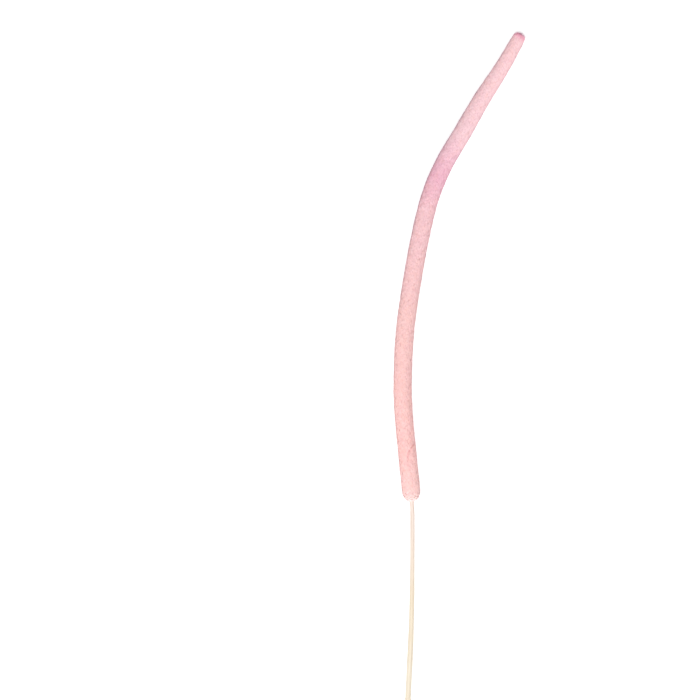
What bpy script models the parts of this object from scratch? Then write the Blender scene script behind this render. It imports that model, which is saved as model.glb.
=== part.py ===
"""A dried timothy grass stem: one long flower head on its straw, lying on a table.

Run with: blender --background --python part.py
Metres, +Z up. The table is z = 0, the straw's cut end is towards -Y and the head's tip towards +Y,
and the origin is on the table under the middle of the whole stem.
"""

import math
import random

import bmesh
import bpy
from mathutils import Vector

MM = 0.001

# Where the flower head's base stands in plan, and the centreline from there: sideways and along, in mm.
HEAD_BASE = (-19.02, -38.11)
STRAW_PLAN = [(-3.2, -111.9), (-1.4, -76.9), (0.0, -46.9), (0.5, -16.9)]
HEAD_PLAN = [
    (-1.8, 19.0),
    (-3.4, 37.0),
    (-3.6, 51.0),
    (-2.6, 69.0),
    (0.2, 88.7),
    (3.5, 106.4),
    (7.4, 121.9),
    (12.8, 134.8),
    (19.9, 146.9),
    (27.9, 160.7),
    (36.5, 174.2),
    (44.1, 187.6),
]

# The flower head: a cylinder packed with spikelets, measured out to their tips.
HEAD_RADIUS = 3.75 * MM
HEAD_TOP_RADIUS = 2.6 * MM
THINS_FROM = 0.75
THINNING_POWER = 1.5
BASE_ROUNDING = 4.2 * MM
BASE_RADIUS = 1.5 * MM
TIP_ROUNDING = 2.9 * MM
TIP_RADIUS = 1.2 * MM
PRESSED_FLAT = 0.15 * MM

# Each spikelet is a low pyramid on one diamond of the head's surface, leaning towards the head's tip.
SPIKELETS_ROUND = 12
ROWS = 180
SPIKELET_HEIGHT = 0.8 * MM
SPIKELET_LEAN = 0.8 * MM
UNEVENNESS = 0.25
TWIST_PER_ROW = math.radians(0.4)

# The straw, how far below the head it thickens, and the pocket in the head's base that its top grows into.
STRAW_TOP_RADIUS = 0.80 * MM
STRAW_CUT_RADIUS = 1.10 * MM
THICKENS_FROM = 35.0 * MM
THICKENS_TO = 80.0 * MM
STRAW_STEP = 4.0 * MM
STRAW_BEVEL_RESOLUTION = 4
POCKET_DEPTH = 4.0 * MM
POCKET_GAP = 0.3 * MM

PINK = (0.93, 0.60, 0.62)
STRAW_YELLOW = (0.93, 0.83, 0.66)
PATH_PIECES = 24


def clear_scene():
    for obj in list(bpy.data.objects):
        bpy.data.objects.remove(obj)


def new_collection(name):
    collection = bpy.data.collections.new(name)
    bpy.context.scene.collection.children.link(collection)
    return collection


def material(name, colour, roughness):
    made = bpy.data.materials.new(name)
    made.use_nodes = True
    shader = made.node_tree.nodes["Principled BSDF"]
    shader.inputs["Base Color"].default_value = (*colour, 1.0)
    shader.inputs["Roughness"].default_value = roughness
    shader.inputs["Metallic"].default_value = 0.0
    return made


def catmull_rom(a, b, c, d, t):
    """The point a share t of the way from b to c on a smooth curve through a, b, c and d."""
    linear = (c - a) * t
    square = (a * 2 - b * 5 + c * 4 - d) * t**2
    cube = (b * 3 - a - c * 3 + d) * t**3
    return b + (linear + square + cube) / 2


class Centreline:
    """A smooth line in plan through the given points, read by the distance along it."""

    def __init__(self, points):
        held = [points[0] * 2 - points[1], *points, points[-1] * 2 - points[-2]]
        self.path = [points[0]]
        for span in zip(held, held[1:], held[2:], held[3:]):
            steps = range(1, PATH_PIECES + 1)
            self.path += [catmull_rom(*span, step / PATH_PIECES) for step in steps]
        self.along = [0.0]
        for here, there in zip(self.path, self.path[1:]):
            self.along.append(self.along[-1] + (there - here).length)

    def place(self, distance):
        """The point at this distance and the direction there."""
        n = 1
        while self.along[n] < distance and n < len(self.path) - 1:
            n += 1
        here, there = self.path[n - 1], self.path[n]
        share = (distance - self.along[n - 1]) / (self.along[n] - self.along[n - 1])
        return here.lerp(there, share), (there - here).normalized()


def whole_centreline():
    """The line from the cut end to the head's tip, with the distances of the head's base and tip."""
    plan = [*STRAW_PLAN, (0.0, 0.0), *HEAD_PLAN]
    base = Vector((*HEAD_BASE, 0.0))
    line = Centreline([(base + Vector((x, y, 0.0))) * MM for x, y in plan])
    return line, line.along[len(STRAW_PLAN) * PATH_PIECES], line.along[-1]


def head_radius(from_base, length):
    """The head's radius out to its spikelets' tips, at this distance from its base."""
    thinning = max(0.0, from_base / length - THINS_FROM) / (1 - THINS_FROM)
    radius = HEAD_RADIUS + (HEAD_TOP_RADIUS - HEAD_RADIUS) * thinning**THINNING_POWER
    ends = (
        (BASE_ROUNDING, BASE_RADIUS, from_base),
        (TIP_ROUNDING, TIP_RADIUS, length - from_base),
    )
    for rounding, end_radius, from_end in ends:
        if from_end < rounding:
            inward = 1 - from_end / rounding
            radius = end_radius + (radius - end_radius) * math.sqrt(max(0.0, 1 - inward**2))
    return radius


def head_height(from_base, length):
    """The height of the head's middle, where its underside rests on the table."""
    full_width = min(max(from_base, BASE_ROUNDING), length - TIP_ROUNDING)
    return head_radius(full_width, length) - PRESSED_FLAT


def straw_radius(below_head):
    """The straw's radius at this distance below the head."""
    share = min(max((below_head - THICKENS_FROM) / (THICKENS_TO - THICKENS_FROM), 0.0), 1.0)
    return STRAW_TOP_RADIUS + (STRAW_CUT_RADIUS - STRAW_TOP_RADIUS) * share


def straw_height(from_cut, straw_length, top_height):
    """The straw bends from the head's base down to the table as a cantilever does."""
    free = 1 - min(from_cut / straw_length, 1.0)
    bend = (3 * free**2 - free**3) / 2
    return top_height + (STRAW_CUT_RADIUS - top_height) * bend


def flower_head(line, base_at, tip_at, collection):
    """A round bar in rows, wrapped on the centreline, with every second corner drawn out into a spikelet."""
    sides = 2 * SPIKELETS_ROUND
    length = tip_at - base_at
    mesh = bmesh.new()
    bmesh.ops.create_cone(
        mesh, cap_ends=True, segments=sides, radius1=1.0, radius2=1.0, depth=ROWS
    )
    lengthwise = [e for e in mesh.edges if abs(e.verts[0].co.z - e.verts[1].co.z) > 1]
    bmesh.ops.subdivide_edges(mesh, edges=lengthwise, cuts=ROWS - 1)
    uneven = random.Random(11)
    corners = []
    for vert in mesh.verts:
        row = round(vert.co.z + ROWS / 2)
        side = round(math.atan2(vert.co.y, vert.co.x) / math.tau * sides) % sides
        corners.append((row, side, vert))
    for row, side, vert in sorted(corners, key=lambda corner: corner[:2]):
        from_base = length * row / ROWS
        radius = head_radius(from_base, length)
        height = SPIKELET_HEIGHT * uneven.uniform(1 - UNEVENNESS, 1 + UNEVENNESS)
        inside_ends = 0 < row < ROWS
        if inside_ends and (row + side) % 2:
            radius += height - SPIKELET_HEIGHT
            from_base += SPIKELET_LEAN * min(1.0, (length - from_base) / TIP_ROUNDING)
        elif inside_ends:
            radius -= height
        angle = math.tau * side / sides + TWIST_PER_ROW * row
        middle, ahead = line.place(base_at + from_base)
        right = Vector((ahead.y, -ahead.x, 0.0))
        up = head_height(from_base, length) + radius * math.sin(angle)
        vert.co = middle + right * radius * math.cos(angle)
        vert.co.z = max(up, 0.0)
    bmesh.ops.triangulate(mesh, faces=mesh.faces, quad_method="SHORT_EDGE")
    bmesh.ops.recalc_face_normals(mesh, faces=mesh.faces)
    data = bpy.data.meshes.new("flower_head")
    mesh.to_mesh(data)
    mesh.free()
    head = bpy.data.objects.new("flower_head", data)
    head.data.materials.append(material("dyed_glumes", PINK, 0.8))
    collection.objects.link(head)
    return head


def straw(line, base_at, top_height, collection):
    """The bare straw below the head: one thin rod, whose top stands in the head's pocket."""
    curve = bpy.data.curves.new("straw", "CURVE")
    curve.dimensions = "3D"
    curve.bevel_depth = STRAW_CUT_RADIUS
    curve.bevel_resolution = STRAW_BEVEL_RESOLUTION
    curve.use_fill_caps = True
    length = base_at + POCKET_DEPTH - POCKET_GAP
    count = math.ceil(length / STRAW_STEP) + 1
    spline = curve.splines.new("POLY")
    spline.points.add(count - 1)
    for n, point in enumerate(spline.points):
        from_cut = length * n / (count - 1)
        middle, _ = line.place(from_cut)
        point.co = (middle.x, middle.y, straw_height(from_cut, base_at, top_height), 1.0)
        point.radius = straw_radius(base_at - from_cut) / STRAW_CUT_RADIUS
    rod = bpy.data.objects.new("straw", curve)
    rod.data.materials.append(material("dried_straw", STRAW_YELLOW, 0.45))
    collection.objects.link(rod)
    return rod


def cut_pocket(head, line, base_at, top_height, cutters):
    """The pocket in the head's base where the straw goes in."""
    middle, ahead = line.place(base_at)
    bpy.ops.mesh.primitive_cylinder_add(
        vertices=16,
        radius=STRAW_TOP_RADIUS + POCKET_GAP,
        depth=2 * POCKET_DEPTH,
        location=(middle.x, middle.y, top_height),
        rotation=ahead.to_track_quat("Z", "Y").to_euler(),
    )
    cutter = bpy.context.object
    cutter.name = "pocket_cutter"
    cutter.display_type = "WIRE"
    cutter.hide_render = True
    for home in list(cutter.users_collection):
        home.objects.unlink(cutter)
    cutters.objects.link(cutter)
    pocket = head.modifiers.new("pocket", "BOOLEAN")
    pocket.operation = "DIFFERENCE"
    pocket.solver = "EXACT"
    pocket.object = cutter


def build():
    clear_scene()
    stem = new_collection("timothy_grass_stem")
    cutters = new_collection("cutters")
    line, base_at, tip_at = whole_centreline()
    top_height = head_height(0.0, tip_at - base_at)
    head = flower_head(line, base_at, tip_at, stem)
    straw(line, base_at, top_height, stem)
    cut_pocket(head, line, base_at, top_height, cutters)


build()
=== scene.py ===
"""Looks of the dried timothy grass stem: a long flower head, dyed pale pink, on its bare straw.

Metres, +Z up. The stem lies on a white table at z = 0, its cut end towards -Y and the head's tip towards +Y.
The pieces follow each other as the plant is put together: straw, head axis, spikelets, then the studio.
"""

import math
import random

import bpy
import numpy as np
from mathutils import Matrix, Vector


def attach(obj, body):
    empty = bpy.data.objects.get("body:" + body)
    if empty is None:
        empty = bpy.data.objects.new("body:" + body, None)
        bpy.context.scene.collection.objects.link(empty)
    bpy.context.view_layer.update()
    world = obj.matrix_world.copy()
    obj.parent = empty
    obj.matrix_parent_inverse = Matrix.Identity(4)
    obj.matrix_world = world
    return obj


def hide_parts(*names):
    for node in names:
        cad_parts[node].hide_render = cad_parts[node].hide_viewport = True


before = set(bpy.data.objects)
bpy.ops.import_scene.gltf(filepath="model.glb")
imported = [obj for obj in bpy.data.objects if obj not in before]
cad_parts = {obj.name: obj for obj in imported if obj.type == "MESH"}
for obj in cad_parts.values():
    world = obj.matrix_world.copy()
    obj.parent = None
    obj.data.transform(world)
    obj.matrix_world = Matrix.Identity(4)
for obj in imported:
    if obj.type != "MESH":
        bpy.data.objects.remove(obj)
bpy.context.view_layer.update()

# The straw: the plant's stalk, a thin ribbed tube of dried straw, cut square at its lower end.
# It curves gently in plan, and bends from the head down to the table under its own weight.
# Modelled straight along +Y from the cut end at y = 0, and then bent along the stem's line.
MM = 0.001
HEAD_BASE = (-19.02, -38.11)
STRAW_PLAN = [(-3.2, -111.9), (-1.4, -76.9), (-0.1, -46.9), (0.25, -16.9)]
HEAD_PLAN = [
    (-1.8, 19.0),
    (-3.4, 37.0),
    (-3.6, 51.0),
    (-2.6, 69.0),
    (0.2, 88.7),
    (3.5, 106.4),
    (7.4, 121.9),
    (12.8, 134.8),
    (19.9, 146.9),
    (27.9, 160.7),
    (36.5, 174.2),
    (44.1, 187.6),
]
PATH_PIECES = 24
STRAW_TOP_RADIUS = 0.88 * MM
STRAW_CUT_RADIUS = 1.12 * MM
THICKENS_FROM = 28.0 * MM
THICKENS_TO = 66.0 * MM
STRAW_WALL = 0.34 * MM
STRAW_INTO_HEAD = 3.7 * MM
STRAW_HOLLOW = 14.0 * MM
STRAW_RIBS = 22
RIB_DEPTH = 0.022 * MM
SWELLINGS = [(0.02, 31.0, 0.0), (0.015, 77.0, 1.0)]  # share of the radius, radians over the straw, start
ON_THE_SKIN = 0.9  # share of the radius, past which a point is on the tube's outer skin
RAGGED_MM = 0.12
STRAW_STEP = 2.0 * MM
STRAW_SHARP_ANGLE = math.radians(40)
FIBRE_SPACING = 0.125 * MM
FIBRE_LENGTH = 12.5 * MM
TABLE_CLEARANCE = 0.02 * MM
NEARLY = 0.01 * MM  # how near a place counts as reached


def catmull_rom(a, b, c, d, t):
    """The point a share t of the way from b to c on a smooth curve through a, b, c and d."""
    linear = (c - a) * t
    square = (a * 2 - b * 5 + c * 4 - d) * t**2
    cube = (b * 3 - a - c * 3 + d) * t**3
    return b + (linear + square + cube) / 2


def smooth_through(points):
    """The places along a smooth curve through these points, PATH_PIECES to each span."""
    held = [points[0] * 2 - points[1], *points, points[-1] * 2 - points[-2]]
    places = [points[0]]
    for span in zip(held, held[1:], held[2:], held[3:]):
        places += [catmull_rom(*span, step / PATH_PIECES) for step in range(1, PATH_PIECES + 1)]
    return places


plan = [*STRAW_PLAN, (0.0, 0.0), *HEAD_PLAN]
stem_line = smooth_through([(Vector((*HEAD_BASE, 0)) + Vector((x, y, 0))) * MM for x, y in plan])
along_line = [0.0]
for here, there in zip(stem_line, stem_line[1:]):
    along_line.append(along_line[-1] + (there - here).length)
STRAW_LENGTH = along_line[len(STRAW_PLAN) * PATH_PIECES]
STEM_LENGTH = along_line[-1]
HEAD_LENGTH = STEM_LENGTH - STRAW_LENGTH

# The head's outline, which its height above the table follows.
HEAD_RADIUS = 3.75 * MM
HEAD_TOP_RADIUS = 2.6 * MM
THINS_FROM = 0.75
THINNING_POWER = 1.5
BASE_ROUNDING = 4.2 * MM
TIP_ROUNDING = 2.9 * MM
PRESSED_FLAT = 0.25 * MM


def head_radius(from_base):
    """The head's radius at its full width, before its ends are rounded."""
    thinning = max(0.0, from_base / HEAD_LENGTH - THINS_FROM) / (1 - THINS_FROM)
    return HEAD_RADIUS + (HEAD_TOP_RADIUS - HEAD_RADIUS) * thinning**THINNING_POWER


def stem_height(from_cut):
    """The height of the stem's middle: the head rests all along, the straw sags from it to the table."""
    if from_cut >= STRAW_LENGTH:
        return head_radius(min(from_cut - STRAW_LENGTH, HEAD_LENGTH - TIP_ROUNDING)) - PRESSED_FLAT
    free = 1 - from_cut / STRAW_LENGTH
    bend = (3 * free**2 - free**3) / 2
    top = HEAD_RADIUS - PRESSED_FLAT
    return top + (STRAW_CUT_RADIUS + TABLE_CLEARANCE - top) * bend


def straight_to_lying(coordinates):
    """Bends points modelled straight along +Y, in rows of x, y, z, onto the stem's line."""
    places = np.array([place[:2] for place in stem_line])
    heights = np.array([stem_height(distance) for distance in along_line])
    x, y, z = coordinates.T
    tangents = np.gradient(places, along_line, axis=0)
    middle_x, middle_y, ahead_x, ahead_y, height = (
        np.interp(y, along_line, column) for column in (*places.T, *tangents.T, heights)
    )
    past_end = np.maximum(y - STEM_LENGTH, 0.0)
    size = np.hypot(ahead_x, ahead_y)
    ahead_x, ahead_y = ahead_x / size, ahead_y / size
    return np.column_stack(
        (
            middle_x + x * ahead_y + past_end * ahead_x,
            middle_y - x * ahead_x + past_end * ahead_y,
            z + height,
        )
    )


def read_points(mesh):
    """A mesh's points, in rows of x, y, z."""
    points = np.empty(len(mesh.vertices) * 3)
    mesh.vertices.foreach_get("co", points)
    return points.reshape(-1, 3)


def write_points(mesh, points):
    """Moves a mesh's points to these places."""
    mesh.vertices.foreach_set("co", points.ravel())
    mesh.update()


def lay_down(piece):
    """Bends a straight piece onto the stem's line."""
    write_points(piece.data, straight_to_lying(read_points(piece.data)))


def select_where(piece, test):
    """In edit mode: selects the vertices whose place passes the test, and the edges and faces between."""
    bpy.ops.object.mode_set(mode="OBJECT")
    mesh = piece.data
    picked = [test(vertex.co) for vertex in mesh.vertices]
    for vertex, pick in zip(mesh.vertices, picked):
        vertex.select = pick
    for edge in mesh.edges:
        edge.select = all(picked[corner] for corner in edge.vertices)
    for face in mesh.polygons:
        face.select = all(picked[corner] for corner in face.vertices)
    bpy.ops.object.mode_set(mode="EDIT")


def linear(hex_colour):
    """An sRGB hex colour as linear RGBA."""
    shares = [int(hex_colour[n : n + 2], 16) / 255 for n in (1, 3, 5)]
    return (*[s / 12.92 if s <= 0.04045 else ((s + 0.055) / 1.055) ** 2.4 for s in shares], 1.0)


def new_material(name):
    """A material with a Principled shader, and the shader."""
    made = bpy.data.materials.new(name)
    made.use_nodes = True
    return made, made.node_tree.nodes["Principled BSDF"]


def add_node(shader, kind, settings=(), values=(), links=(), stops=()):
    """Adds a node beside the shader: its settings by name, its inputs' values, what feeds them, and the
    stops of a colour ramp, as (position, sRGB hex) pairs."""
    tree = shader.id_data
    node = tree.nodes.new(kind)
    for name, value in dict(settings).items():
        setattr(node, name, value)
    for name, value in dict(values).items():
        node.inputs[name].default_value = value
    for name, output in dict(links).items():
        tree.links.new(output, node.inputs[name])
    ramp = node.color_ramp.elements if stops else ()
    while len(ramp) < len(stops):
        ramp.new(1.0)
    for element, (position, hex_colour) in zip(ramp, stops):
        element.position = position
        element.color = linear(hex_colour)
    return node


def dried_straw():
    """Dried straw: a waxy, silky skin over long fibres, paler under the head and yellower at the cut."""
    made, shader = new_material("dried_straw_fibre")
    along = add_node(shader, "ShaderNodeAttribute", {"attribute_name": "along"}).outputs["Fac"]
    lengthwise = add_node(shader, "ShaderNodeAttribute", {"attribute_name": "straight"}).outputs["Vector"]
    colour = add_node(
        shader,
        "ShaderNodeValToRGB",
        links={"Fac": along},
        stops=[(0.0, "#EBDEC6"), (0.35, "#E9DECA"), (0.62, "#E9DBC4"), (0.80, "#EDDDCF"), (1.0, "#EFDED6")],
    )
    stretched = add_node(
        shader,
        "ShaderNodeMapping",
        values={"Scale": (1 / FIBRE_SPACING, 1 / FIBRE_LENGTH, 1 / FIBRE_SPACING)},
        links={"Vector": lengthwise},
    )
    fibres = add_node(
        shader,
        "ShaderNodeTexNoise",
        values={"Scale": 1.0, "Detail": 3.0, "Roughness": 0.6},
        links={"Vector": stretched.outputs["Vector"]},
    )
    streaks = add_node(
        shader,
        "ShaderNodeValToRGB",
        links={"Fac": fibres.outputs["Fac"]},
        stops=[(0.3, "#C9AE7E"), (0.55, "#FFFFFF")],
    )
    streaked = add_node(
        shader,
        "ShaderNodeMix",
        {"data_type": "RGBA", "blend_type": "MULTIPLY"},
        {"Factor": 0.35},
        {"A": colour.outputs["Color"], "B": streaks.outputs["Color"]},
    )
    bump = add_node(
        shader,
        "ShaderNodeBump",
        values={"Strength": 0.5, "Distance": 0.03 * MM},
        links={"Height": fibres.outputs["Fac"]},
    )
    tree = made.node_tree
    tree.links.new(streaked.outputs["Result"], shader.inputs["Base Color"])
    tree.links.new(bump.outputs["Normal"], shader.inputs["Normal"])
    shader.inputs["Roughness"].default_value = 0.42
    shader.inputs["Sheen Weight"].default_value = 0.1
    return made


def keep_straight_places(piece, length):
    """Keeps where each point stands on the straight piece, for patterns that follow its length."""
    points = read_points(piece.data)
    straight = piece.data.attributes.new("straight", "FLOAT_VECTOR", "POINT")
    straight.data.foreach_set("vector", points.astype(np.float32).ravel())
    along = piece.data.attributes.new("along", "FLOAT", "POINT")
    along.data.foreach_set("value", (points[:, 1] / length).astype(np.float32))


bpy.ops.object.select_all(action="DESELECT")
straw_length = STRAW_LENGTH + STRAW_INTO_HEAD
bpy.ops.mesh.primitive_cylinder_add(
    vertices=2 * STRAW_RIBS,
    radius=STRAW_CUT_RADIUS,
    depth=straw_length,
    location=(0, straw_length / 2, 0),
    rotation=(math.radians(90), 0, 0),
)
straw = bpy.context.object
straw.name = "straw_stalk"
bpy.ops.object.transform_apply()
bpy.ops.object.mode_set(mode="EDIT")
for n in range(1, round(straw_length / STRAW_STEP)):
    bpy.ops.mesh.select_all(action="SELECT")
    bpy.ops.mesh.bisect(plane_co=(0, n * STRAW_STEP, 0), plane_no=(0, 1, 0))
# The hollow: the cut face is inset by the wall's thickness and pushed up the tube.
select_where(straw, lambda co: co.y < NEARLY)
bpy.ops.mesh.inset(thickness=STRAW_WALL)
bpy.ops.mesh.extrude_region_move(TRANSFORM_OT_translate={"value": (0, STRAW_HOLLOW, 0)})
bpy.ops.object.mode_set(mode="OBJECT")

uneven = random.Random(3)
points = read_points(straw.data)
side = np.round(np.arctan2(points[:, 2], points[:, 0]) / math.tau * 2 * STRAW_RIBS).astype(int)
radius = np.hypot(points[:, 0], points[:, 2])
share = points[:, 1] / straw_length
below_head = STRAW_LENGTH - points[:, 1]
thickened = np.clip((below_head - THICKENS_FROM) / (THICKENS_TO - THICKENS_FROM), 0, 1)
taper = (STRAW_TOP_RADIUS + (STRAW_CUT_RADIUS - STRAW_TOP_RADIUS) * thickened) / STRAW_CUT_RADIUS
wobble = 1.0
for swell, turns, start in SWELLINGS:
    wobble = wobble + swell * np.sin(share * turns + start)
furrow = np.where((side % 2 == 1) & (radius > STRAW_CUT_RADIUS * ON_THE_SKIN), RIB_DEPTH, 0.0)
scale = (taper * wobble) * (1 - furrow / STRAW_CUT_RADIUS)
points[:, 0] *= scale
points[:, 2] *= scale
ragged = points[:, 1] < NEARLY
points[ragged, 1] += [uneven.uniform(0, RAGGED_MM) * MM for _ in range(ragged.sum())]
write_points(straw.data, points)
keep_straight_places(straw, straw_length)
lay_down(straw)
straw.data.materials.append(dried_straw())
bpy.ops.object.shade_smooth_by_angle(angle=STRAW_SHARP_ANGLE)
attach(straw, "root")
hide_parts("straw")

# The head's axis: the straw's upper end, which runs through the head and carries the spikelets.
# The same dyed plant fibre as they are, knobbly with their crowded stalks, and seen only between them.
# Modelled as a tapering rod with rounded ends, and bent along the stem's line.
AXIS_RADIUS = 3.3 * MM
AXIS_FOOT_RADIUS = 0.75 * MM
AXIS_BACK_FROM_TIP = 1.9 * MM
AXIS_WIDENS = 3.5 * MM
AXIS_SIDES = 20
AXIS_STEP = 0.9 * MM
AXIS_START_RADIUS = 1.0 * MM
AXIS_THINNEST = 0.1 * MM
KNOB_HEIGHT = 0.16 * MM
DYE_SPOTS = 1.2 * MM


def eased(share):
    """0 below 0, 1 above 1, and a smooth rise between."""
    held = min(max(share, 0.0), 1.0)
    return held * held * (3 - 2 * held)


def axis_radius(from_base):
    """The axis's radius: the straw's own at the base, wide in the head, closing before the tip."""
    foot = AXIS_FOOT_RADIUS + (AXIS_RADIUS - AXIS_FOOT_RADIUS) * eased(from_base / AXIS_WIDENS)
    left = (HEAD_LENGTH - AXIS_BACK_FROM_TIP - from_base) / TIP_ROUNDING
    closing = math.sqrt(max(0.0, 1 - max(0.0, 1 - left) ** 2))
    return foot * head_radius(from_base) / HEAD_RADIUS * closing


def stalks_with_painted_shade():
    """The dyed stalks deep in the head: their pink is painted a little deeper than the glumes' as shade,
    where little light reaches.
    """
    made, shader = new_material("dyed_stalk_fibre")
    place = add_node(shader, "ShaderNodeTexCoord").outputs["Object"]
    spots = add_node(
        shader,
        "ShaderNodeTexNoise",
        values={"Scale": 1 / DYE_SPOTS, "Detail": 2.0},
        links={"Vector": place},
    )
    colour = add_node(
        shader,
        "ShaderNodeValToRGB",
        links={"Fac": spots.outputs["Fac"]},
        stops=[(0.35, "#ECB9BA"), (0.65, "#F3C8C7")],
    )
    made.node_tree.links.new(colour.outputs["Color"], shader.inputs["Base Color"])
    shader.inputs["Roughness"].default_value = 0.8
    return made


bpy.ops.object.select_all(action="DESELECT")
axis_length = HEAD_LENGTH - AXIS_BACK_FROM_TIP
bpy.ops.mesh.primitive_cylinder_add(
    vertices=AXIS_SIDES,
    radius=AXIS_START_RADIUS,
    depth=axis_length,
    location=(0, STRAW_LENGTH + axis_length / 2, 0),
    rotation=(math.radians(90), 0, 0),
)
axis = bpy.context.object
axis.name = "head_axis"
bpy.ops.object.transform_apply()
bpy.ops.object.mode_set(mode="EDIT")
for n in range(1, round(axis_length / AXIS_STEP)):
    bpy.ops.mesh.select_all(action="SELECT")
    bpy.ops.mesh.bisect(plane_co=(0, STRAW_LENGTH + n * AXIS_STEP, 0), plane_no=(0, 1, 0))
bpy.ops.object.mode_set(mode="OBJECT")
points = read_points(axis.data)
for point in points:
    knob = 1 + KNOB_HEIGHT / AXIS_RADIUS * uneven.uniform(-1, 1)
    wide = max(axis_radius(point[1] - STRAW_LENGTH), AXIS_THINNEST) / AXIS_START_RADIUS * knob
    point[0] *= wide
    point[2] *= wide
write_points(axis.data, points)
lay_down(axis)
axis.data.materials.append(stalks_with_painted_shade())
bpy.ops.object.shade_smooth()
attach(axis, "root")
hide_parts("flower_head")

# The spikelets: about 4,000 of them, packed all round the axis. Each is two papery boat-shaped glumes,
# grown side by side, with a stiff bristle on each one's shoulder and a fringe of hairs down its keel.
# One is modelled here, lying along +Y with its outer side up, and copied on a spiral round the axis.
SPIKELET_LENGTH = 2.95 * MM
SPIKELET_SIDES = 8
SPIKELET_RINGS = [  # along, rise, half width, half thickness, in mm
    (0.00, 0.00, 0.24, 0.16),
    (1.00, 0.17, 0.52, 0.25),
    (2.05, 0.18, 0.65, 0.28),
    (2.95, 0.00, 0.54, 0.18),
]
SEAM_DEPTH = 0.14 * MM
SEAM_FROM = 0.5 * MM  # along the spikelet
SEAM_MIDDLE = 0.12 * MM  # the height between its two broad sides
SHOULDER_INSET = 0.085 * MM
SHOULDER_RISE = 0.12 * MM
BRISTLE_INSET = 0.025 * MM
BRISTLE_RISE = 0.16 * MM
BRISTLE_LENGTH = 0.85 * MM
BRISTLE_TIPS_PAST = 0.5 * MM  # beyond the spikelet's top
BRISTLES_SPREAD = 1.9
HAIR_LENGTH = 0.42 * MM
HAIR_RADIUS = 0.026 * MM
HAIR_SIDES = 3
HAIR_LEAN = (0.6, 0.75, 0.2)  # outwards, along the spikelet, up
HAIRS = [  # along, rise, half width, in mm
    (1.25, 0.17, 0.50),
    (1.75, 0.18, 0.57),
    (2.25, 0.14, 0.59),
    (2.75, 0.04, 0.53),
]

bpy.ops.object.select_all(action="DESELECT")
along, rise, wide, thick = SPIKELET_RINGS[0]
bpy.ops.mesh.primitive_circle_add(
    vertices=SPIKELET_SIDES, radius=1.0 * MM, fill_type="NGON", rotation=(math.radians(-90), 0, 0)
)
spikelet = bpy.context.object
spikelet.name = "one_spikelet"
bpy.ops.object.transform_apply()
bpy.ops.object.mode_set(mode="EDIT")
bpy.ops.mesh.select_all(action="SELECT")
bpy.ops.transform.resize(value=(wide, 1, thick), center_override=(0, 0, 0))
for ring in SPIKELET_RINGS[1:]:
    move = (0, (ring[0] - along) * MM, (ring[1] - rise) * MM)
    bpy.ops.mesh.extrude_region_move(TRANSFORM_OT_translate={"value": move})
    bpy.ops.transform.resize(
        value=(ring[2] / wide, 1, ring[3] / thick), center_override=(0, ring[0] * MM, ring[1] * MM)
    )
    along, rise, wide, thick = ring
# The seam between the two glumes runs down the middle of each broad side.
for outer in (1, -1):
    select_where(
        spikelet,
        lambda co: abs(co.x) < NEARLY and co.y > SEAM_FROM and (co.z - SEAM_MIDDLE) * outer > 0,
    )
    bpy.ops.transform.translate(value=(0, 0, -outer * SEAM_DEPTH))
# The top is parted along the seam, and each half drawn in to a shoulder and out to a bristle.
select_where(spikelet, lambda co: abs(co.x) < NEARLY and co.y > SPIKELET_LENGTH - NEARLY)
bpy.ops.mesh.vert_connect()
select_where(spikelet, lambda co: co.y > SPIKELET_LENGTH - NEARLY)
bpy.ops.mesh.inset(thickness=SHOULDER_INSET, depth=SHOULDER_RISE, use_individual=True)
bpy.ops.mesh.inset(thickness=BRISTLE_INSET, depth=BRISTLE_RISE, use_individual=True)
bpy.ops.mesh.poke(offset=BRISTLE_LENGTH)
select_where(spikelet, lambda co: co.y > SPIKELET_LENGTH + BRISTLE_TIPS_PAST)
bpy.ops.transform.resize(value=(BRISTLES_SPREAD, 1, 1), center_override=(0, 0, 0))
bpy.ops.object.mode_set(mode="OBJECT")
# The hairs stand off both keels, and lean towards the bristles.
for along, rise, wide in HAIRS:
    for hand in (1, -1):
        lean = Vector((hand * HAIR_LEAN[0], *HAIR_LEAN[1:])).normalized()
        bpy.ops.mesh.primitive_cone_add(
            vertices=HAIR_SIDES,
            radius1=HAIR_RADIUS,
            depth=HAIR_LENGTH,
            location=Vector((hand * wide, along, rise)) * MM + lean * HAIR_LENGTH / 2,
            rotation=lean.to_track_quat("Z", "Y").to_euler(),
        )
        bpy.ops.object.transform_apply()
        hair = bpy.context.object
        bpy.ops.object.select_all(action="DESELECT")
        hair.select_set(True)
        spikelet.select_set(True)
        bpy.context.view_layer.objects.active = spikelet
        bpy.ops.object.join()
bpy.ops.object.mode_set(mode="EDIT")
bpy.ops.mesh.select_all(action="SELECT")
bpy.ops.mesh.normals_make_consistent(inside=False)
bpy.ops.uv.smart_project(angle_limit=1.15, island_margin=0.02)
bpy.ops.object.mode_set(mode="OBJECT")

# How the spikelets stand: on a spiral whose turn from one to the next is the golden angle, so that
# they crowd evenly on the long sides and on the rounded ends alike.
GOLDEN_ANGLE = math.pi * (3 - math.sqrt(5))
SPIKELET_AREA = 1.06 * MM * MM
CROWN_BELOW_OUTLINE = 0.30 * MM
FOOT_SHARE = 0.85
AXIAL_REACH = 2.39 * MM
AXIAL_REACH_AT_BASE = 0.4 * MM
AXIAL_REACH_AT_TIP = 2.75 * MM
REACH_CHANGES_OVER = 6.0 * MM
CHORD = 2.85 * MM
FIRST_CROWN = 0.4 * MM
LAST_CROWN = 0.03 * MM
ROOM_AT_TIP = 1.75 * MM
DRAWN_BACK_AT_TIP = 0.68
LEAST_FROM_BASE = 0.5 * MM
LEAST_TOP = 0.05 * MM
FOOT_UNDER_TOP = 0.9
ROUNDED_BASE_FOOT = 0.6 * MM
OUTLINE_STEP = 0.05 * MM
LEAST_RING_RADIUS = 0.4 * MM

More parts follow.
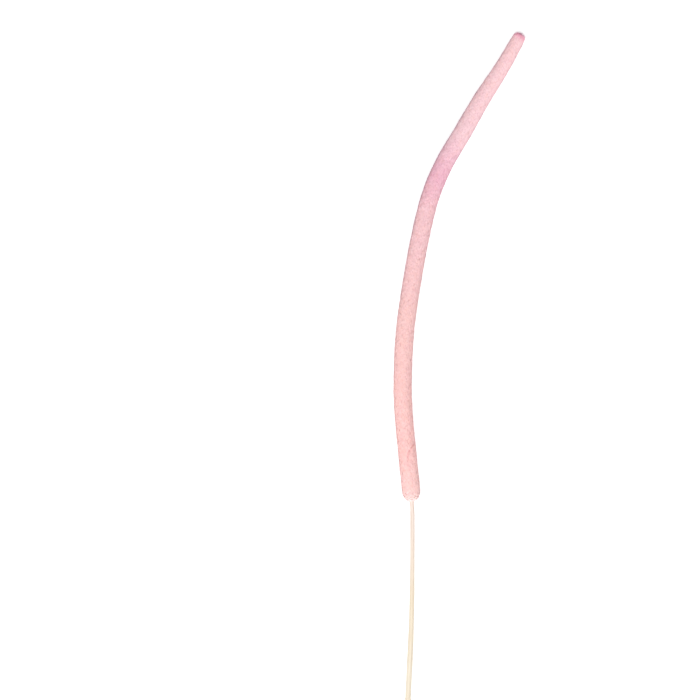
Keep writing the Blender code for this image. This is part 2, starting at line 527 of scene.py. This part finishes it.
# Spikelets are smaller where the head is thin, and stand closer over the rounded base.
THIN_SIZE, THIN_SIZE_GAINS = 0.62, 0.38
BASE_PACKING, BASE_PACKING_GAINS = 0.55, 0.45
BASE_PACKED_OVER = 5.0 * MM

# How unevenly each one stands: the most that its place, turn, height, lean and width differ.
CROWN_VARIES_MM = 0.25
TURN_VARIES = 0.07
TOP_VARIES_MM = (-0.05, 0.04)
SWING_VARIES = 0.08
ROLL_VARIES = 0.09
LEAN_VARIES = 0.03
WIDTH_VARIES = (0.92, 1.08)

# The parted place near the head's base: its line, as distance from the base in mm and angle round
# the head from its right side, how far the spikelets beside it are pushed apart, and a painted shadow in
# its crease, drawn as a fine darker line with soft sides, on the upper side only.
PARTING = [(23.4, 40.0), (22.4, 50.0), (21.1, 67.0), (20.1, 81.0), (19.4, 87.0), (18.0, 90.0), (15.6, 94.0)]
PARTING_REACH = 1.2 * MM
PARTING_TURN = math.radians(8)
PARTING_SHIFT = 0.32 * MM
PARTING_DEPTH = 0.10 * MM
CREASE_SHADOW_HALF_WIDTH = 0.10 * MM
CREASE_SHADOW_FADES = 0.16 * MM
CREASE_SHADOW_UPPER_SIDE = 0.5 * MM  # the height over which it comes in

# Painted shade: the colour darkens on the head's flanks and under it, most of all on the left flank from the
# bend up, for the shade on the sides turned from the light.
FLANK_FROM = 0.60  # height over distance from the middle, under which the painted shade comes in
FLANK_ENDS_BEFORE_TIP = 0.015  # this and the next two are shares of the head's length
LEFT_DEEPENS_FROM = 0.28
LEFT_DEEPENS_TO = 0.60
RIGHT_FLANK_SHADE = 0.36  # how deep the painted shade is on the right flank, where the deepest is 1

# The joined meshes: how high above the table spikelets are pressed down, where an edge is sharp, and how
# each spikelet's map sits in its own square.
PRESSED_OVER = 0.3 * MM
GLUME_SHARP_ANGLE = math.radians(55)
MAP_MARGIN, MAP_INSIDE = 0.03, 0.94
NERVE_TURNS = 19.0  # radians from the seam to a glume's edge


def outline(from_base):
    """The head's radius out to its spikelets' crowns, with its rounded ends."""
    radius = head_radius(from_base)
    base = 1 - min(from_base / BASE_ROUNDING, 1)
    tip = 1 - min((HEAD_LENGTH - from_base) / TIP_ROUNDING, 1)
    foot = ROUNDED_BASE_FOOT
    radius = foot + (radius - foot) * math.sqrt(max(0.0, 1 - base**2)) if base > 0 else radius
    return radius * math.sqrt(max(0.0, 1 - tip**2))


def parted(from_base, angle):
    """How far the parted place pushes a spikelet round the head: from -1 to 1, and 0 out of its reach."""
    around = head_radius(from_base)
    here = Vector((from_base, (angle + math.pi) % math.tau - math.pi, 0))
    here.y *= around
    nearest, side = math.inf, 1.0
    for a, b in zip(PARTING, PARTING[1:]):
        start = Vector((a[0] * MM, math.radians(a[1]) * around, 0))
        run = Vector((b[0] * MM, math.radians(b[1]) * around, 0)) - start
        t = min(max((here - start).dot(run) / run.length_squared, 0.0), 1.0)
        off = here - start - run * t
        if off.length < nearest:
            nearest = off.length
            side = -1.0 if run.cross(off).z > 0 else 1.0
    return side * max(0.0, 1 - nearest / PARTING_REACH)


def spikelet_places():
    """Each spikelet's place on the straight head as a matrix, with a number from 0 to 1 for its own tint."""
    uneven = random.Random(29)
    places = []
    crown = FIRST_CROWN
    angle = 0.0
    while crown < HEAD_LENGTH - LAST_CROWN:
        radius = outline(crown)
        slope = (outline(min(crown + OUTLINE_STEP, HEAD_LENGTH)) - radius) / OUTLINE_STEP
        crowded = min(1.0, THIN_SIZE + THIN_SIZE_GAINS * radius / HEAD_RADIUS)
        ring = math.tau * max(radius - CROWN_BELOW_OUTLINE, LEAST_RING_RADIUS)
        packed = crowded**2 * (BASE_PACKING + BASE_PACKING_GAINS * eased(crown / BASE_PACKED_OVER))
        crown += SPIKELET_AREA * packed / ring / math.hypot(1, slope)
        angle += GOLDEN_ANGLE
        at = min(max(crown + uneven.uniform(-CROWN_VARIES_MM, CROWN_VARIES_MM) * MM, 0.0), HEAD_LENGTH)
        past = max(0.0, at - (HEAD_LENGTH - ROOM_AT_TIP))
        from_base = max(at - past * DRAWN_BACK_AT_TIP, LEAST_FROM_BASE)
        turn = angle + uneven.uniform(-TURN_VARIES, TURN_VARIES)
        grown = eased(from_base / REACH_CHANGES_OVER)
        closing = 1 - eased((HEAD_LENGTH - from_base) / REACH_CHANGES_OVER)
        reach = AXIAL_REACH_AT_BASE + (AXIAL_REACH - AXIAL_REACH_AT_BASE) * grown
        reach += (AXIAL_REACH_AT_TIP - AXIAL_REACH) * closing
        push = parted(from_base, turn)
        sunk = CROWN_BELOW_OUTLINE + PARTING_DEPTH * push**2
        top = max(outline(at) - sunk + uneven.uniform(*TOP_VARIES_MM) * MM, LEAST_TOP)
        foot = min(axis_radius(max(from_base - reach, 0.0)) * FOOT_SHARE, top * FOOT_UNDER_TOP)
        chord = math.hypot(reach, top - foot)
        lean = math.atan2(top - foot, reach)
        # Turned so that +Y runs from foot to crown and +Z outwards, then round the head, then along it.
        size = chord / CHORD
        swing = uneven.uniform(-SWING_VARIES, SWING_VARIES) + push * PARTING_TURN
        roll = uneven.uniform(-ROLL_VARIES, ROLL_VARIES)
        own = (
            Matrix.Rotation(lean + uneven.uniform(-LEAN_VARIES, LEAN_VARIES), 4, "X")
            @ Matrix.Rotation(swing, 4, "Z")
            @ Matrix.Rotation(roll, 4, "Y")
            @ Matrix.Diagonal((crowded * uneven.uniform(*WIDTH_VARIES), size, crowded, 1))
        )
        angle_here = turn + push * PARTING_SHIFT / HEAD_RADIUS
        radial = Matrix.Rotation(math.pi / 2 - angle_here, 4, "Y")
        along_head = STRAW_LENGTH + from_base - reach
        matrix = Matrix.Translation((0, along_head, 0)) @ radial @ Matrix.Translation((0, 0, foot)) @ own
        places.append((matrix, uneven.random()))
    return places


def painted_crease_shadow(shader):
    """How much of the painted shadow in the parting's crease is seen: 1 on its line, 0 beside it."""
    straight = add_node(shader, "ShaderNodeAttribute", {"attribute_name": "straight"}).outputs["Vector"]
    place = add_node(shader, "ShaderNodeSeparateXYZ", links={"Vector": straight}).outputs
    low, high = PARTING[-1][0] * MM, PARTING[0][0] * MM
    share = add_node(
        shader,
        "ShaderNodeMapRange",
        values={"From Min": low, "From Max": high},
        links={"Value": place["Y"]},
    ).outputs["Result"]
    # The curve gives where the line lies across the head: 0 at its left side, 1 at its right.
    line = add_node(shader, "ShaderNodeFloatCurve", links={"Value": share})
    curve = line.mapping.curves[0]
    marks = [
        ((from_base * MM - low) / (high - low), 0.5 + 0.5 * math.cos(math.radians(angle)))
        for from_base, angle in reversed(PARTING)
    ]
    curve.points[0].location = marks[0]
    curve.points[1].location = marks[-1]
    for mark in marks[1:-1]:
        curve.points.new(*mark)
    line.mapping.update()
    across = add_node(
        shader,
        "ShaderNodeMath",
        {"operation": "MULTIPLY_ADD"},
        {1: 2 * HEAD_RADIUS, 2: -HEAD_RADIUS},
        {0: line.outputs["Value"]},
    ).outputs["Value"]
    off = add_node(
        shader, "ShaderNodeMath", {"operation": "SUBTRACT"}, links={0: place["X"], 1: across}
    ).outputs["Value"]
    beside = add_node(shader, "ShaderNodeMath", {"operation": "ABSOLUTE"}, links={0: off}).outputs["Value"]
    near = add_node(
        shader,
        "ShaderNodeMapRange",
        values={
            "From Min": CREASE_SHADOW_HALF_WIDTH,
            "From Max": CREASE_SHADOW_HALF_WIDTH + CREASE_SHADOW_FADES,
            "To Min": 1.0,
            "To Max": 0.0,
        },
        links={"Value": beside},
    ).outputs["Result"]
    ends = add_node(
        shader,
        "ShaderNodeValToRGB",
        links={"Fac": share},
        stops=[
            (0.00, "#000000"),
            (0.30, "#808080"),
            (0.50, "#F0F0F0"),
            (0.65, "#F0F0F0"),
            (0.85, "#B4B4B4"),
            (1.00, "#000000"),
        ],
    ).outputs["Color"]
    on_top = add_node(
        shader,
        "ShaderNodeMapRange",
        values={"From Min": 0.0, "From Max": CREASE_SHADOW_UPPER_SIDE},
        links={"Value": place["Z"]},
    ).outputs["Result"]
    seen = near
    for other in (ends, on_top):
        both = add_node(shader, "ShaderNodeMath", {"operation": "MULTIPLY"}, links={0: seen, 1: other})
        seen = both.outputs["Value"]
    return seen


def dyed_glumes():
    """Dyed timothy chaff: dry paper-thin glumes, matt, with raised nerves. The dye is pale pink, cooler
    and mauve round the bend and deep pink at the tip, and darker towards the foot of each glume. The
    tip's plum end is painted shade, the head's flanks carry painted shade, and a painted shadow lies in the
    parting's crease."""
    made, shader = new_material("dyed_papery_glume")
    tree = made.node_tree
    along, rise, across, tint, flank_shade = (
        add_node(shader, "ShaderNodeAttribute", {"attribute_name": name}).outputs["Fac"]
        for name in ("along", "rise", "across", "tint", "flank_shade")
    )
    dye_and_end_shade = add_node(
        shader,
        "ShaderNodeValToRGB",
        links={"Fac": along},
        stops=[
            (0.00, "#FAE2DF"),
            (0.03, "#F9D0CD"),
            (0.10, "#F8CAC7"),
            (0.35, "#F4CAC8"),
            (0.58, "#F1C8CD"),
            (0.66, "#EEBBCB"),
            (0.69, "#EEBFCE"),
            (0.76, "#F5D1D7"),
            (0.982, "#F9D1D5"),
            (0.9925, "#FBB8CE"),
            # The plum end is painted shade on the tip's end.
            (0.9985, "#9C5C78"),
        ],
    )
    # What the dye is multiplied by: each spikelet's own tint, the painted shade on the flanks, the darkening
    # towards the glume's foot, and the painted shadow in the parting's crease.
    colour = dye_and_end_shade.outputs["Color"]
    for amount, stops in (
        (tint, [(0.0, "#FCF7F9"), (0.5, "#FFFFFF"), (1.0, "#FFFAF6")]),
        # Painted shade: darker on the head's flanks and underside.
        (flank_shade, [(0.0, "#FFFFFF"), (1.0, "#C0B6C0")]),
        # Darker towards the foot of each glume.
        (rise, [(0.08, "#E6AEA9"), (0.35, "#FFFFFF")]),
        # Painted shadow: a fine darker line in the parting's crease.
        (painted_crease_shadow(shader), [(0.0, "#FFFFFF"), (1.0, "#EFD2DA")]),
    ):
        shade = add_node(shader, "ShaderNodeValToRGB", links={"Fac": amount}, stops=stops)
        mix = add_node(
            shader,
            "ShaderNodeMix",
            {"data_type": "RGBA", "blend_type": "MULTIPLY"},
            {"Factor": 1.0},
            {"A": colour, "B": shade.outputs["Color"]},
        )
        colour = mix.outputs["Result"]
    tree.links.new(colour, shader.inputs["Base Color"])
    # Three raised nerves run up each glume, 0.2 mm apart.
    turned = add_node(shader, "ShaderNodeMath", {"operation": "MULTIPLY"}, {1: NERVE_TURNS}, {0: across})
    nerves = add_node(
        shader, "ShaderNodeMath", {"operation": "SINE"}, links={0: turned.outputs["Value"]}
    )
    bump = add_node(
        shader,
        "ShaderNodeBump",
        values={"Strength": 0.3, "Distance": 0.03 * MM},
        links={"Height": nerves.outputs["Value"]},
    )
    tree.links.new(bump.outputs["Normal"], shader.inputs["Normal"])
    shader.inputs["Roughness"].default_value = 0.7
    shader.inputs["Specular IOR Level"].default_value = 0.15
    return made


def painted_flank_shade(x, z, along):
    """How much painted shade falls at places beside the straight head's middle: 0 on top, at most 1."""
    away = np.hypot(x, z)
    flank_shade = np.clip((FLANK_FROM - z / away) / FLANK_FROM, 0, 1)
    left = np.clip(0.5 - x / away, 0, 1)
    upper = np.clip((along - LEFT_DEEPENS_FROM) / (LEFT_DEEPENS_TO - LEFT_DEEPENS_FROM), 0, 1)
    before_tip = np.clip((1 - along) / FLANK_ENDS_BEFORE_TIP, 0, 1)
    return flank_shade * before_tip * (RIGHT_FLANK_SHADE + (1 - RIGHT_FLANK_SHADE) * left * upper)


def joined_spikelets(name, places, finish):
    model = spikelet.data
    one = read_points(model)
    count, size = len(places), len(one)
    copies = np.empty((count, size, 3))
    for n, (matrix, _) in enumerate(places):
        m = np.array(matrix)
        copies[n] = one @ m[:3, :3].T + m[:3, 3]
    points = straight_to_lying(copies.reshape(-1, 3))
    # The spikelets under the head are pressed against the table.
    low = points[:, 2] < PRESSED_OVER
    points[low, 2] = PRESSED_OVER * np.exp((points[low, 2] - PRESSED_OVER) / PRESSED_OVER)
    faces = [tuple(face.vertices) for face in model.polygons]
    mesh = bpy.data.meshes.new(name)
    mesh.from_pydata(points, [], [tuple(c + n * size for c in face) for n in range(count) for face in faces])
    mesh.shade_smooth()
    mesh.set_sharp_from_angle(angle=GLUME_SHARP_ANGLE)
    along = (copies[:, :, 1].ravel() - STRAW_LENGTH) / HEAD_LENGTH
    # What the finish reads at each point: shares of the head's length, of the painted flank shade, of the
    # tint, and of the way up and across the glume.
    half_width = max(ring[2] for ring in SPIKELET_RINGS) * MM
    values = {
        "along": along,
        "flank_shade": painted_flank_shade(copies[:, :, 0].ravel(), copies[:, :, 2].ravel(), along),
        "tint": np.repeat([tint for _, tint in places], size),
        "rise": np.tile(one[:, 1] / (SPIKELET_LENGTH + BRISTLE_LENGTH), count),
        "across": np.tile(one[:, 0] / half_width, count),
    }
    for attribute, numbers in values.items():
        made = mesh.attributes.new(attribute, "FLOAT", "POINT")
        made.data.foreach_set("value", np.asarray(numbers, dtype=np.float32))
    straight = mesh.attributes.new("straight", "FLOAT_VECTOR", "POINT")
    straight.data.foreach_set("vector", (copies - [0, STRAW_LENGTH, 0]).astype(np.float32).ravel())
    # A map with a square of its own for each spikelet, in which the model's map is repeated.
    squares = math.ceil(math.sqrt(count))
    model_map = np.empty(len(model.loops) * 2)
    model.uv_layers[0].uv.foreach_get("vector", model_map)
    corners = np.stack([np.arange(count) % squares, np.arange(count) // squares], axis=1)
    inside = MAP_INSIDE * model_map.reshape(1, -1, 2)
    spread = (corners[:, None, :] + MAP_MARGIN + inside) / squares
    mesh.uv_layers.new(name="OFBake").uv.foreach_set("vector", spread.astype(np.float32).ravel())
    mesh.materials.append(finish)
    piece = bpy.data.objects.new(name, mesh)
    bpy.context.collection.objects.link(piece)
    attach(piece, "root")
    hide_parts("flower_head")


glume = dyed_glumes()
places = spikelet_places()
STRETCHES = ["base", "lower", "middle", "bend", "tip"]
share = math.ceil(len(places) / len(STRETCHES))
for n, stretch in enumerate(STRETCHES):
    joined_spikelets(f"spikelets_{stretch}", places[n * share : (n + 1) * share], glume)
bpy.data.objects.remove(spikelet)

# The studio: a plain white table, lit a little from within so that shadows stay faint on it, a big
# soft light high up towards the cut end of the stem, and a pale white sky.
# The camera looks straight down on the middle of the photograph's frame, 280 mm across.
FRAME_CENTRE = (-43.75 * MM, 22.4 * MM, 3.6 * MM)
FRAME_SIZE = 280.0 * MM
SENSOR = 36.0
LENS = 200.0
TABLE_SIZE = 6.0
SOFTBOX_PLACE = (-0.2, -1.0, 1.9)
SOFTBOX_SIZE = 2.6
SOFTBOX_WATTS = 59.0

bpy.ops.object.select_all(action="DESELECT")
bpy.ops.mesh.primitive_plane_add(size=TABLE_SIZE, location=(0, 0, 0))
table = bpy.context.object
table.name = "white_table"
table_finish, shader = new_material("matt_white_card")
shader.inputs["Base Color"].default_value = linear("#D9D9D9")
shader.inputs["Roughness"].default_value = 0.9
shader.inputs["Emission Color"].default_value = (1, 1, 1, 1)
shader.inputs["Emission Strength"].default_value = 0.55
table.data.materials.append(table_finish)

sky = bpy.data.worlds.new("white_sky")
sky.use_nodes = True
bpy.context.scene.world = sky
sky.node_tree.nodes["Background"].inputs["Color"].default_value = (1, 1, 1, 1)
sky.node_tree.nodes["Background"].inputs["Strength"].default_value = 0.38

bpy.ops.object.light_add(type="AREA", location=SOFTBOX_PLACE)
softbox = bpy.context.object
softbox.name = "softbox"
softbox.data.size = SOFTBOX_SIZE
softbox.data.energy = SOFTBOX_WATTS
softbox.rotation_euler = Vector(softbox.location).to_track_quat("Z", "Y").to_euler()

bpy.ops.object.camera_add(location=Vector(FRAME_CENTRE) + Vector((0, 0, FRAME_SIZE * LENS / SENSOR)))
camera = bpy.context.object
camera.data.sensor_width = SENSOR
camera.data.lens = LENS
camera.data.clip_end = 20.0
bpy.context.scene.camera = camera
bpy.context.scene.view_settings.view_transform = "Standard"
